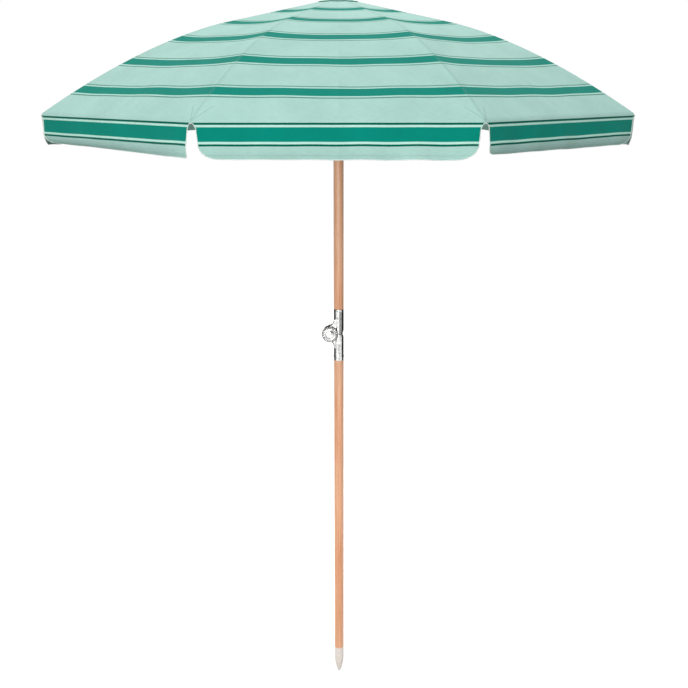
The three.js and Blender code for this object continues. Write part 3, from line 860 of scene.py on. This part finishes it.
def rivets():
    """Each is a shank with a low domed head at each end."""
    for name, node, body, lie, half, look, slot in RIVETS:
        head = domed(RIVET_HEAD_R, half, RIVET_HEAD_TALL, 8)
        foot = [(r, -z) for r, z in reversed(head)]
        under = half - RIVET_SUNK
        shank = [(RIVET_HEAD_R, -under), (RIVET_SHANK_R, -under), (RIVET_SHANK_R, under),
                 (RIVET_HEAD_R, under)]
        low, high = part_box(node)
        piece = solid(name, lie(turned(foot + shank + head, 32), (low + high) / 2), 40)
        finish_piece(piece, body, look, slot, node)


FERRULE_BORE_R = 0.0138
JOINT_GAP = 0.0005  # from the tilt axis to the end of either ferrule
UPPER_EAR_Y = 0.0115  # inner face of the upper ferrule's cheeks, outside the lower ferrule's
LOWER_EAR_Y = 0.0094
EAR_THICK = 0.0018
SHEET_VOXEL = 0.00062
SHEET_SMOOTHING = 3
NICK_DEPTH = 0.0034  # the dent in the pole side of both ferrules, level with the tilt axis
NICK_REACH = 0.013
BEAD_R = 0.0017  # the rolled edge of an ear, beside the disc
BEAD_SPAN = slice(13, 24)  # the outline's points from the end of its shoulder up the hollow curve
BEAD_IN = 0.0016
BEAD_OUT = 0.0014
CREASE_AT = 0.0006  # the fold down the front of the lower ferrule
CREASE_HALF = 0.0016
CREASE_DEPTH = 0.0012
CREASE_TOP = 0.022
# painted shade laid along that fold, as a share of the dark metal colour
FOLD_SHADE = 0.85
RIGHT_SIDE_REFLECTION = 0.6  # painted dark reflection over the right of the upper ferrule
UNSHADED_END = 0.0065  # its upper end, left bright without that painted reflection


def arc(cx, cz, radius, start, end, steps):
    return [
        (cx + radius * math.cos(math.radians(a)), cz + radius * math.sin(math.radians(a)))
        for a in np.linspace(start, end, steps)
    ]


def ear_outline(side):
    """One cheek of a ferrule in the X-Z plane: a round eye, a broad shoulder beside the disc and a hollow
    curve up to the tube. side is 1 above the joint and -1 below."""
    shoulder_r, eye_r = 0.0243, 0.0138
    outline = arc(0, 0, shoulder_r, 180, 96, 14)
    start, bend, end = (-0.0025, 0.0245), (0.0098, 0.0258), (0.0113, 0.0400)
    for t in np.linspace(0.08, 1, 10):
        x, z = (a * (1 - t) ** 2 + b * 2 * t * (1 - t) + c * t**2 for a, b, c in zip(start, bend, end))
        outline.append((x, z))
    outline += [(0.0160, 0.0460), (0.0200, 0.0460), (0.0200, 0.0010), (eye_r, 0.0010)]
    outline += arc(0, 0, eye_r, -4, -176, 18)
    outline += [(-eye_r, 0.0010), (-shoulder_r, 0.0010)]
    return [(TILT.x + x, TILT.z + side * z) for x, z in outline]


def sheet_metal(name, shapes):
    """One body from overlapping closed shapes, with its corners and joins softened like pressed metal."""
    piece = solid(name, together(*shapes))
    remesh = piece.modifiers.new("join", "REMESH")
    remesh.mode = "VOXEL"
    remesh.voxel_size = SHEET_VOXEL
    smooth = piece.modifiers.new("soften", "SMOOTH")
    smooth.factor = 0.5
    smooth.iterations = SHEET_SMOOTHING
    apply_modifiers(piece)
    shade_smooth(piece.data)
    return piece


def mark_painted_shade(piece, shade_levels):
    """How much painted shade and painted dark reflection lies at each point of the piece, for the metal look.
    """
    painted_shade = piece.data.attributes.new("painted_shade", "FLOAT", "POINT")
    painted_shade.data.foreach_set("value", shade_levels)


def ferrule(side):
    """A tube with two ears, side 1 above the joint and -1 below."""
    upper = side > 0
    node = "upper_ferrule" if upper else "lower_ferrule"
    low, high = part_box(node)
    if upper:
        low_z, high_z = TILT.z + JOINT_GAP, high.z
    else:
        low_z, high_z = low.z, TILT.z - JOINT_GAP
    tube_shape = turned(
        [(FERRULE_BORE_R, low_z), (FERRULE_R, low_z), (FERRULE_R, high_z), (FERRULE_BORE_R, high_z)], 96
    )
    ear_y = UPPER_EAR_Y if upper else LOWER_EAR_Y
    outline = ear_outline(side)
    cheeks = [plate(outline, ear_y, ear_y + EAR_THICK), plate(outline, -ear_y - EAR_THICK, -ear_y)]
    beads = [tube([(x + BEAD_IN, y, z) for x, z in outline[BEAD_SPAN]], BEAD_R, 10)
             for y in (ear_y + BEAD_OUT, -ear_y - BEAD_OUT)]
    piece = sheet_metal(f"{node}_shell", [tube_shape, *cheeks, *beads])
    points = np.zeros(len(piece.data.vertices) * 3, np.float32)
    piece.data.vertices.foreach_get("co", points)
    points = points.reshape(-1, 3)
    near = np.clip(1 - np.abs(points[:, 2] - TILT.z) / NICK_REACH, 0, 1) ** 1.5
    radius = np.hypot(points[:, 0], points[:, 1])
    right = np.clip(points[:, 0] / np.maximum(radius, 1e-6), 0, 1) ** 2
    pull = 1 - NICK_DEPTH * near * right / np.maximum(radius, 0.01)
    points[:, 0] *= pull
    points[:, 1] *= pull
    if not upper:
        fold = np.clip(1 - np.abs(points[:, 0] - CREASE_AT) / CREASE_HALF, 0, 1) * (points[:, 1] < -0.013)
        fold *= np.clip((TILT.z - CREASE_TOP - points[:, 2]) / 0.01, 0, 1)
        points[:, 1] += CREASE_DEPTH * fold
    piece.data.vertices.foreach_set("co", points.ravel())
    # painted dark: a painted reflection over the right of the upper ferrule, and painted shade in the fold of
    # the lower one
    if upper:
        painted_dark = RIGHT_SIDE_REFLECTION * np.clip((points[:, 0] + 0.003) / 0.006, 0, 1)
        painted_dark *= np.clip((high_z - UNSHADED_END - points[:, 2]) / 0.002, 0, 1)
    else:
        painted_dark = FOLD_SHADE * fold
    mark_painted_shade(piece, painted_dark)
    finish_piece(piece, "upper_pole" if upper else "lower_pole", CHROME, "chrome", node)


def tilt_disc():
    """The toothed disc: a plain collar round the button, then a crown of radial ridges out to the teeth."""
    face, back = -0.0210, -0.0159
    columns = DISC_TEETH * 12
    points = []
    shade_levels = []
    for i in range(columns):
        turn = 2 * math.pi * i / columns
        wave = 0.5 + 0.5 * math.cos(DISC_TEETH * turn)
        hollow = 1 - wave
        rim = DISC_R - 0.0016 * hollow**1.5
        dip = 0.0013 * hollow
        # the third number of each point is painted shade: dark on the rim and in the hollows between the
        # teeth
        section = [
            (0.0090, back, 0), (rim, back, 0.5), (rim, face + 0.0012 + dip, 0.7),
            (rim - 0.0006, face + 0.0006 + dip, 0.5 + 0.5 * hollow), (0.0222, face + 0.0002 + dip, hollow),
            (0.0200, face + 0.0002 + dip * 0.8, hollow**1.3), (0.0180, face + 0.0002 + dip * 0.4, hollow**3),
            (0.0166, face - 0.0001, 0), (0.0156, face - 0.0004, 0), (0.0142, face - 0.0004, 0),
            (0.0133, face - 0.0001, 0), (0.0129, face + 0.0003, 0), (0.0129, back - 0.0006, 0),
            (0.0090, back - 0.0006, 0),
        ]
        points += [(TILT.x + r * math.cos(turn), y, TILT.z + r * math.sin(turn)) for r, y, _ in section]
        shade_levels += [darkness for _, _, darkness in section]
    size = len(section)
    faces = [
        (i * size + k, i * size + (k + 1) % size, ((i + 1) % columns) * size + (k + 1) % size,
         ((i + 1) % columns) * size + k)
        for i in range(columns) for k in range(size)
    ]
    piece = solid("tilt_disc", (points, faces), 50)
    mark_painted_shade(piece, shade_levels)
    finish_piece(piece, "lower_pole", CHROME, "chrome", "ratchet_disc")


def tilt_button():
    """A low polished dome on a stem that runs into the pivot sleeve."""
    edge, top = 0.0232, 0.0246
    shoulder_r, shoulder = BUTTON_R - 0.0012, edge + 0.0003
    dome = [(BUTTON_R - 0.0006, edge - 0.0002)]
    for t in np.linspace(0, 1, 14):
        dome.append((shoulder_r * (1 - t), shoulder + (top - shoulder) * (1 - (1 - t) ** 2)))
    profile = [(0, 0.0020), (0.0055, 0.0020), (0.0060, 0.0025), (0.0060, 0.0207), (BUTTON_R, 0.0207)] + dome
    shape = along_y(turned(profile, 72), Vector((TILT.x, 0, TILT.z)))
    piece = solid("tilt_button_cap", shape, 40)
    finish_piece(piece, "tilt_button", CHROME, "chrome", "tilt_button")


def pivot():
    """The hollow rivet through the ears, with a domed head at the back."""
    head = domed(0.0110, -0.0140, -0.0030, 10)
    profile = [(0, -0.0134), (0.0063, -0.0134), (0.0063, 0.0144), (0.0080, 0.0144), (0.0080, -0.0140)] + head
    shape = along_y(turned(profile, 64), Vector((TILT.x, 0, TILT.z)))
    piece = solid("pivot_rivet", shape, 40)
    finish_piece(piece, "lower_pole", STEEL, "steel", "pivot_sleeve")


# ---- crown, ribs and runner ----

CROWN_FACE = HINGE.z + 0.005
SLOT_HALF = 0.0027  # the slots for the ribs in the crown and for the stretchers in the runner
RIB_BELOW_CLOTH = 0.0062
RIB_DIP_REACH = 0.045  # the rib bends down to its hinge over this reach
RIB_START = 0.0206
RIB_END = 0.826
STRETCHER_LENGTH = 0.428
PIN_HEIGHT = LUG.z - math.sqrt(STRETCHER_LENGTH**2 - (LUG_R - RUNNER_PIN_R) ** 2)
RUNNER_BORE_R = 0.0155
RUNNER_LIP_R = 0.0215
RUNNER_SLEEVE_R = 0.0195
RUNNER_FLANGE_R = 0.0360


def crown():
    profile = rounded(
        [(0.0030, HINGE.z - 0.034), (0.0080, HINGE.z - 0.034), (0.0080, HINGE.z - 0.009),
         (0.0260, HINGE.z - 0.009), (0.0260, HINGE.z + 0.004), (0.0194, CROWN_FACE),
         (0.0194, HINGE.z - 0.0015), (0.0166, HINGE.z - 0.0015), (0.0166, CROWN_FACE), (0.0030, CROWN_FACE)],
        0.0008, 3,
    )
    piece = solid("crown_plate", turned(profile, 96))
    slot = block(0.0124, 0.030, -SLOT_HALF, SLOT_HALF, HINGE.z - 0.012, HINGE.z + 0.008)
    cut_at_ribs(piece, slot)
    finish_piece(piece, "upper_pole", STEEL, "steel", "crown")

    circle = arc(HINGE_R, HINGE.z, 0.001, 0, 330, 12)
    ring = solid("hinge_ring", turned(circle, 96), 60)
    finish_piece(ring, "upper_pole", STEEL, "steel", "crown_ring")


def finial():
    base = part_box("finial")[0].z
    top = rounded(
        [(0, base), (0.0026, base), (0.0026, APEX + 0.0022), (0.0200, APEX + 0.0022), (0.0200, APEX + 0.0034),
         (0.0085, APEX + 0.0052), (0.0054, APEX + 0.0095), (0.0076, APEX + 0.0135), (0.0081, APEX + 0.0165),
         (0.0064, APEX + 0.0204), (0.0036, APEX + 0.0225), (0, APEX + 0.0231)],
        0.0022, 5,
    )
    piece = solid("finial_knob", turned(top, 72), 45)
    finish_piece(piece, "upper_pole", WHITE, "white_plastic", "finial")


def rib_height(r):
    dip = max(0, 1 - (r - HINGE_R) / RIB_DIP_REACH) ** 2
    straight = cloth_height(r) - RIB_BELOW_CLOTH
    return straight - dip * (cloth_height(HINGE_R) - RIB_BELOW_CLOTH - HINGE.z)


def eye_plate(x, z, radius, half):
    """A small round plate with soft edges, in the plane of the rib."""
    soft = half * 0.3
    profile = [(0, -half), (radius - soft, -half), (radius, -half + soft), (radius, half - soft),
               (radius - soft, half), (0, half)]
    return along_y(turned(profile, 32), Vector((x, 0, z)))


def ribs():
    reaches = RIB_START + (RIB_END - RIB_START) * np.linspace(0, 1, 70) ** 1.3
    line = [(r, 0, rib_height(r)) for r in reaches]
    neck = block(LUG_R - 0.003, LUG_R + 0.003, -0.001, 0.001, LUG.z, LUG.z + 0.008)
    shape = together(
        tube(line, ROD_R, 16), eye_plate(HINGE_R, HINGE.z, 0.0042, 0.0016),
        eye_plate(LUG_R, LUG.z, 0.0046, 0.001), neck,
    )
    slope = math.atan((rib_height(RIB_END - 0.02) - rib_height(RIB_END)) / 0.02)
    cap = rounded(
        [(0, 0.0004), (0.0021, 0.0004), (0.0021, -0.011), (0.0030, -0.011), (0.0030, 0.002), (0.0024, 0.0048),
         (0, 0.0058)],
        0.0008, 3,
    )
    cap_shape = moved(
        turned(cap, 32),
        Matrix.Translation((RIB_END, 0, rib_height(RIB_END))) @ Matrix.Rotation(math.pi / 2 + slope, 4, "Y"),
    )
    for i, angle in enumerate(RIB_ANGLES):
        number = i + 1
        bar = solid(f"rib_wire_{number}", moved(shape, spoke(angle)), 50)
        finish_piece(bar, f"rib_{number}", STEEL, "steel", f"rib_{number}")
        tip = solid(f"rib_cap_{number}", moved(cap_shape, spoke(angle)), 45)
        finish_piece(tip, f"rib_{number}", WHITE, "white_plastic", f"rib_tip_{number}")


def stretchers():
    """Each is made along -X from its fork at the origin, then leant down to the runner."""
    length = STRETCHER_LENGTH
    lean = math.asin((LUG.z - PIN_HEIGHT) / length)
    bar = tube([(-0.0095, 0, 0), (-length / 2, 0, 0), (-length, 0, 0)], ROD_R, 16)
    heel = block(-0.011, -0.0054, -0.0027, 0.0027, -0.0026, 0.0026)
    cheeks = []
    for y in (-0.002, 0.002):
        cheeks.append(moved(eye_plate(0, 0, 0.004, 0.0007), Matrix.Translation((0, y, 0))))
        cheeks.append(block(-0.008, 0, y - 0.0007, y + 0.0007, -0.0026, 0.0026))
    pin = eye_plate(0, 0, 0.00115, 0.0031)
    eye = eye_plate(-length, 0, 0.0034, 0.0015)
    shape = together(bar, heel, *cheeks, pin, eye)
    set_down = Matrix.Translation((LUG_R, 0, LUG.z)) @ Matrix.Rotation(-lean, 4, "Y")
    for i, angle in enumerate(RIB_ANGLES):
        name = f"stretcher_wire_{i + 1}"
        piece = solid(name, moved(shape, spoke(angle) @ set_down), 50)
        finish_piece(piece, f"stretcher_{i + 1}", STEEL, "steel", f"stretcher_{i + 1}")


def runner():
    low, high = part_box("runner")
    profile = rounded(
        [(RUNNER_BORE_R, low.z), (RUNNER_LIP_R, low.z), (RUNNER_LIP_R, low.z + 0.006),
         (RUNNER_SLEEVE_R, low.z + 0.008), (RUNNER_SLEEVE_R, PIN_HEIGHT - 0.004),
         (RUNNER_FLANGE_R, PIN_HEIGHT - 0.004), (RUNNER_FLANGE_R, high.z), (RUNNER_BORE_R, high.z)],
        0.0012, 4,
    )
    piece = solid("runner_hub", turned(profile, 96))
    slot = block(0.0235, 0.040, -SLOT_HALF, SLOT_HALF, PIN_HEIGHT - 0.009, PIN_HEIGHT + 0.009)
    cut_at_ribs(piece, slot)
    finish_piece(piece, "runner", WHITE, "white_plastic", "runner")


def carried_over():
    """The small CAD parts that are kept as they are get a metal look and soft shading."""
    for node in ("button_spring", "catch_lever", "catch_pin"):
        piece = frame["nodes"][node]
        piece.data.materials.clear()
        piece.data.materials.append(STEEL)
        soften(piece.data, 40)


# ---- room ----

CAMERA_BACK = 2.976
CAMERA_HEIGHT = 1.931
CAMERA_PITCH = math.radians(14.84)
CAMERA_TURN = math.radians(0.31)  # the canopy stands a little left of the picture's middle
LENS = 52.1
FLOOR_GLOW = 0.50
CARD_OUT = 1.5
CARD_DEEP = (-0.45, 1.6)
CARD_TALL = (0.05, 1.9)
SKY = 0.58  # the world's strength overhead and, as GROUND, below
GROUND = 0.22
# each light's name, place, size, power in watts and what it is turned to
SOFTBOXES = (
    ("key", (-0.8, -3.2, 5.0), (2.4, 2.4), 45, (0, 0, 1.6)),
    ("front", (-0.9, -4.6, 1.3), (1.8, 1.8), 95, (0, 0, 1.3)),
    ("back", (0.3, 2.6, 5.0), (3.0, 2.0), 115, (0, 0, 1.6)),
    ("left", (-3.4, 1.6, 2.4), (1.6, 2.0), 22, (0, 0, 1.3)),
    ("right", (3.4, 1.6, 2.4), (1.6, 2.0), 22, (0, 0, 1.3)),
)


def camera():
    data = bpy.data.cameras.new("camera")
    data.lens = LENS
    data.sensor_width = 36
    piece = link("camera", data)
    piece.location = (0, -CAMERA_BACK, CAMERA_HEIGHT)
    piece.rotation_euler = (math.pi / 2 - CAMERA_PITCH, 0, -CAMERA_TURN)
    bpy.context.scene.camera = piece


def light_only(piece, **rays):
    """Which rays see a stage piece."""
    for kind, seen in rays.items():
        setattr(piece, f"visible_{kind}", seen)


def floor():
    piece = solid("floor", turned([(0, 0), (60, 0), (60, -0.01), (0, -0.01)], 96))
    look = Look("pale_floor", (0.9, 0.9, 0.9, 1), 0.8)
    tone = look.noise(look.place(), 60, 3)
    look.drive("Base Color", look.ramp(tone, [(0.3, (0.88, 0.88, 0.88, 1)), (0.7, (0.91, 0.91, 0.91, 1))]))
    look.set("Emission Color", (1, 1, 1, 1))
    look.set("Emission Strength", FLOOR_GLOW)
    look.set("Specular IOR Level", 0.0)
    piece.data.materials.append(look.material)
    light_only(piece, diffuse=False, shadow=False)


def dark_cards():
    """Two black cards beside the pole, which only the metal mirrors: they give it its dark edges."""
    look = Look("black_card", (0.02, 0.02, 0.02, 1), 0.9)
    look.set("Specular IOR Level", 0.0)
    for x, name in ((-1, "card_left"), (1, "card_right")):
        across = sorted((x * CARD_OUT, x * (CARD_OUT + 0.02)))
        piece = solid(name, block(*across, *CARD_DEEP, *CARD_TALL))
        piece.data.materials.append(look.material)
        light_only(piece, camera=False, diffuse=False, shadow=False, transmission=False)


def softbox(name, at, size, power, toward):
    data = bpy.data.lights.new(name, "AREA")
    data.shape = "RECTANGLE"
    data.size, data.size_y = size
    data.energy = power
    piece = link(name, data)
    piece.location = at
    piece.rotation_euler = (Vector(toward) - Vector(at)).to_track_quat("-Z", "Y").to_euler()


def studio():
    """A white surround for the camera, and a softer one, darker below, that lights the object."""
    world = bpy.data.worlds.new("studio")
    bpy.context.scene.world = world
    world.use_nodes = True
    tree = world.node_tree
    tree.nodes.remove(tree.nodes["Background"])
    place = add_node(tree, "ShaderNodeTexCoord").outputs["Generated"]
    height = add_node(tree, "ShaderNodeSeparateXYZ", {0: place}).outputs["Z"]
    rise = {"Value": height, "From Min": -0.3, "From Max": 0.4, "To Min": GROUND, "To Max": SKY}
    strength = add_node(tree, "ShaderNodeMapRange", rise, interpolation_type="SMOOTHSTEP").outputs[0]
    soft = add_node(tree, "ShaderNodeBackground", {"Color": (1, 1, 1, 1), "Strength": strength})
    white = add_node(tree, "ShaderNodeBackground", {"Color": (1, 1, 1, 1), "Strength": 1.0})
    seen = add_node(tree, "ShaderNodeLightPath").outputs["Is Camera Ray"]
    mix = add_node(tree, "ShaderNodeMixShader", {0: seen, 1: soft.outputs[0], 2: white.outputs[0]})
    tree.links.new(mix.outputs[0], tree.nodes["World Output"].inputs[0])
    for light in SOFTBOXES:
        softbox(*light)
    bpy.context.scene.view_settings.view_transform = "Standard"


camera()
canopy()
wooden_poles()
ground_tip()
rivets()
ferrule(1)
ferrule(-1)
tilt_disc()
tilt_button()
pivot()
crown()
finial()
ribs()
stretchers()
runner()
carried_over()
floor()
dark_cards()
studio()
